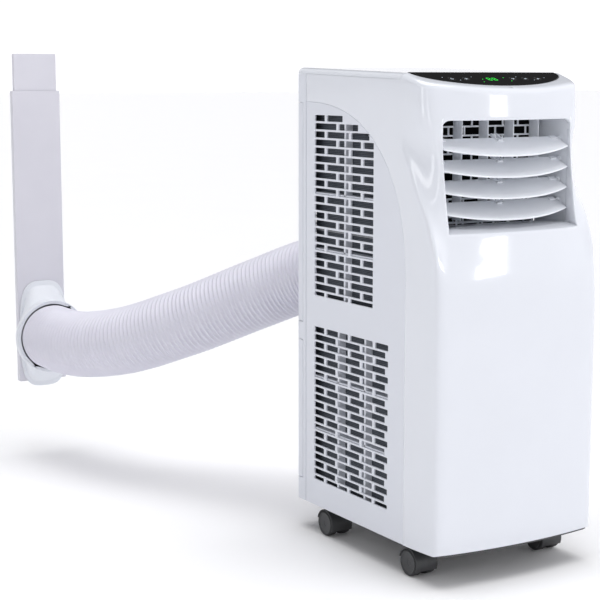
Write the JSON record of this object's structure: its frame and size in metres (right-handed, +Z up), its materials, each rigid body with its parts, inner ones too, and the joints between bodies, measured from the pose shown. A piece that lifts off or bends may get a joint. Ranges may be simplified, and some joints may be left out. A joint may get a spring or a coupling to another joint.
{
  "type": "portable air conditioner",
  "caption": "Upright white room air conditioner on casters, with a louvred front outlet, grilled sides, a rear exhaust hose and a window strip.",
  "frame": {"origin": "on the floor under the middle of the cabinet's outer box", "axes": "+Z up, -Y towards the front with the air outlet, +X to the right seen from the front; the hose leaves towards +Y"},
  "size_m": [0.492, 1.045, 0.727],
  "materials": {
    "gloss_white_abs": "moulded gloss",
    "satin_white_abs": "moulded satin",
    "hose_film": "corrugated white film",
    "kit_polypropylene": "moulded satin",
    "dark_nylon": "moulded, fine grain",
    "black_acrylic": "high gloss",
    "circuit_board": "solder resist",
    "filter_net": "woven nylon net",
    "black_steel": "black paint",
    "fin_aluminium": "rolled fins",
    "copper": "drawn copper",
    "grey_polystyrene": "moulded matt",
    "grommet_rubber": "moulded"
  },
  "bodies": {
    "cabinet": {"front_shell": "gloss_white_abs", "side_panel_left": "gloss_white_abs", "side_panel_right": "gloss_white_abs", "top_cover": "gloss_white_abs", "rear_panel": "gloss_white_abs", "front_screw_left": "gloss_white_abs", "front_screw_right": "gloss_white_abs", "outlet_duct": "satin_white_abs", "outlet_guard": "satin_white_abs", "exhaust_hose": "hose_film", "hose_collar": "kit_polypropylene", "window_adapter": "kit_polypropylene", "window_panel_outer": "kit_polypropylene", "base_tray": "dark_nylon", "control_fascia": "black_acrylic", "control_board": "circuit_board", "compressor": "black_steel", "accumulator": "black_steel", "cool_motor": "black_steel", "hot_motor": "black_steel", "evaporator_coil": "fin_aluminium", "condenser_coil": "fin_aluminium", "discharge_pipe": "copper", "suction_pipe": "copper", "partition_deck": "grey_polystyrene", "electrics_box": "grey_polystyrene", "cool_blower_housing": "grey_polystyrene", "hot_blower_housing": "grey_polystyrene", "cord_gland": "grommet_rubber"},
    "caster_front_left": {"caster_yoke_front_left": "dark_nylon"},
    "wheels_front_left": {"caster_wheels_front_left": "dark_nylon"},
    "caster_front_right": {"caster_yoke_front_right": "dark_nylon"},
    "wheels_front_right": {"caster_wheels_front_right": "dark_nylon"},
    "caster_rear_left": {"caster_yoke_rear_left": "dark_nylon"},
    "wheels_rear_left": {"caster_wheels_rear_left": "dark_nylon"},
    "caster_rear_right": {"caster_yoke_rear_right": "dark_nylon"},
    "wheels_rear_right": {"caster_wheels_rear_right": "dark_nylon"},
    "vane_1": {"vane_1": "satin_white_abs"},
    "vane_2": {"vane_2": "satin_white_abs"},
    "vane_3": {"vane_3": "satin_white_abs"},
    "vane_4": {"vane_4": "satin_white_abs"},
    "vane_link": {"vane_link_bar": "satin_white_abs"},
    "blade_1": {"blade_1": "satin_white_abs"},
    "blade_2": {"blade_2": "satin_white_abs"},
    "blade_3": {"blade_3": "satin_white_abs"},
    "blade_4": {"blade_4": "satin_white_abs"},
    "blade_5": {"blade_5": "satin_white_abs"},
    "blade_tie": {"blade_tie_bar": "satin_white_abs"},
    "key_power": {"key_power": "black_acrylic"},
    "key_mode": {"key_mode": "black_acrylic"},
    "key_fan": {"key_fan": "black_acrylic"},
    "key_down": {"key_down": "black_acrylic"},
    "key_up": {"key_up": "black_acrylic"},
    "cool_wheel": {"cool_blower_wheel": "grey_polystyrene"},
    "hot_wheel": {"hot_blower_wheel": "grey_polystyrene"},
    "upper_filter": {"filter_frame_upper": "gloss_white_abs", "filter_net_upper": "filter_net"},
    "lower_filter": {"filter_frame_lower": "gloss_white_abs", "filter_net_lower": "filter_net"},
    "inner_strip": {"window_panel_inner": "kit_polypropylene"}
  },
  "joints": [
    {"name": "swivel_front_left", "type": "hinge", "parent": "cabinet", "child": "caster_front_left", "pos_m": [-0.112, -0.112, 0.035], "axis": [0, 0, 1], "continuous": true},
    {"name": "roll_front_left", "type": "hinge", "parent": "caster_front_left", "child": "wheels_front_left", "pos_m": [-0.112, -0.102, 0.0188], "axis": [1, 0, 0], "continuous": true},
    {"name": "swivel_front_right", "type": "hinge", "parent": "cabinet", "child": "caster_front_right", "pos_m": [0.112, -0.112, 0.035], "axis": [0, 0, 1], "continuous": true},
    {"name": "roll_front_right", "type": "hinge", "parent": "caster_front_right", "child": "wheels_front_right", "pos_m": [0.112, -0.102, 0.0188], "axis": [1, 0, 0], "continuous": true},
    {"name": "swivel_rear_left", "type": "hinge", "parent": "cabinet", "child": "caster_rear_left", "pos_m": [-0.112, 0.105, 0.035], "axis": [0, 0, 1], "continuous": true},
    {"name": "roll_rear_left", "type": "hinge", "parent": "caster_rear_left", "child": "wheels_rear_left", "pos_m": [-0.112, 0.115, 0.0188], "axis": [1, 0, 0], "continuous": true},
    {"name": "swivel_rear_right", "type": "hinge", "parent": "cabinet", "child": "caster_rear_right", "pos_m": [0.112, 0.105, 0.035], "axis": [0, 0, 1], "continuous": true},
    {"name": "roll_rear_right", "type": "hinge", "parent": "caster_rear_right", "child": "wheels_rear_right", "pos_m": [0.112, 0.115, 0.0188], "axis": [1, 0, 0], "continuous": true},
    {"name": "vane_1_tilt", "type": "hinge", "parent": "cabinet", "child": "vane_1", "pos_m": [0, -0.12, 0.601], "axis": [1, 0, 0], "range_deg": [-40, 14]},
    {"name": "vane_2_tilt", "type": "hinge", "parent": "cabinet", "child": "vane_2", "pos_m": [0, -0.12, 0.5725], "axis": [1, 0, 0], "range_deg": [-40, 14]},
    {"name": "vane_3_tilt", "type": "hinge", "parent": "cabinet", "child": "vane_3", "pos_m": [0, -0.12, 0.544], "axis": [1, 0, 0], "range_deg": [-40, 14]},
    {"name": "vane_4_tilt", "type": "hinge", "parent": "cabinet", "child": "vane_4", "pos_m": [0, -0.12, 0.5155], "axis": [1, 0, 0], "range_deg": [-40, 14]},
    {"name": "vane_link_swing", "type": "hinge", "parent": "vane_2", "child": "vane_link", "pos_m": [0, -0.11109, 0.57704], "axis": [1, 0, 0], "range_deg": [-14, 40]},
    {"name": "blade_1_turn", "type": "hinge", "parent": "cabinet", "child": "blade_1", "pos_m": [-0.0892, -0.0885, 0.559], "axis": [0, 0, 1], "range_deg": [-35, 35]},
    {"name": "blade_2_turn", "type": "hinge", "parent": "cabinet", "child": "blade_2", "pos_m": [-0.0446, -0.0885, 0.559], "axis": [0, 0, 1], "range_deg": [-35, 35]},
    {"name": "blade_3_turn", "type": "hinge", "parent": "cabinet", "child": "blade_3", "pos_m": [0, -0.0885, 0.559], "axis": [0, 0, 1], "range_deg": [-35, 35]},
    {"name": "blade_4_turn", "type": "hinge", "parent": "cabinet", "child": "blade_4", "pos_m": [0.0446, -0.0885, 0.559], "axis": [0, 0, 1], "range_deg": [-35, 35]},
    {"name": "blade_5_turn", "type": "hinge", "parent": "cabinet", "child": "blade_5", "pos_m": [0.0892, -0.0885, 0.559], "axis": [0, 0, 1], "range_deg": [-35, 35]},
    {"name": "blade_tie_swing", "type": "hinge", "parent": "blade_3", "child": "blade_tie", "pos_m": [0, -0.0805, 0.486], "axis": [0, 0, 1], "range_deg": [-35, 35]},
    {"name": "press_power", "type": "slide", "parent": "cabinet", "child": "key_power", "axis": [0, 0.3003, -0.9538], "range_m": [0, 0.0005], "stiffness_N_per_m": 250},
    {"name": "press_mode", "type": "slide", "parent": "cabinet", "child": "key_mode", "axis": [0, 0.3003, -0.9538], "range_m": [0, 0.0005], "stiffness_N_per_m": 250},
    {"name": "press_fan", "type": "slide", "parent": "cabinet", "child": "key_fan", "axis": [0, 0.3003, -0.9538], "range_m": [0, 0.0005], "stiffness_N_per_m": 250},
    {"name": "press_down", "type": "slide", "parent": "cabinet", "child": "key_down", "axis": [0, 0.3003, -0.9538], "range_m": [0, 0.0005], "stiffness_N_per_m": 250},
    {"name": "press_up", "type": "slide", "parent": "cabinet", "child": "key_up", "axis": [0, 0.3003, -0.9538], "range_m": [0, 0.0005], "stiffness_N_per_m": 250},
    {"name": "cool_fan_spin", "type": "hinge", "parent": "cabinet", "child": "cool_wheel", "pos_m": [0, 0.04, 0.553], "axis": [1, 0, 0], "continuous": true},
    {"name": "hot_fan_spin", "type": "hinge", "parent": "cabinet", "child": "hot_wheel", "pos_m": [0, 0.01, 0.35], "axis": [1, 0, 0], "continuous": true},
    {"name": "upper_filter_pull", "type": "slide", "parent": "cabinet", "child": "upper_filter", "axis": [0, 1, 0], "range_m": [0, 0.04]},
    {"name": "lower_filter_pull", "type": "slide", "parent": "cabinet", "child": "lower_filter", "axis": [0, 1, 0], "range_m": [0, 0.04]},
    {"name": "window_strip_slide", "type": "slide", "parent": "cabinet", "child": "inner_strip", "axis": [0, 0, 1], "range_m": [-0.02, 0.28]}
  ],
  "couplings": [
    {"joint": "vane_2_tilt", "follows": "vane_1_tilt", "ratio": 1},
    {"joint": "vane_3_tilt", "follows": "vane_1_tilt", "ratio": 1},
    {"joint": "vane_4_tilt", "follows": "vane_1_tilt", "ratio": 1},
    {"joint": "vane_link_swing", "follows": "vane_1_tilt", "ratio": -1},
    {"joint": "blade_2_turn", "follows": "blade_1_turn", "ratio": 1},
    {"joint": "blade_3_turn", "follows": "blade_1_turn", "ratio": 1},
    {"joint": "blade_4_turn", "follows": "blade_1_turn", "ratio": 1},
    {"joint": "blade_5_turn", "follows": "blade_1_turn", "ratio": 1},
    {"joint": "blade_tie_swing", "follows": "blade_1_turn", "ratio": -1}
  ]
}
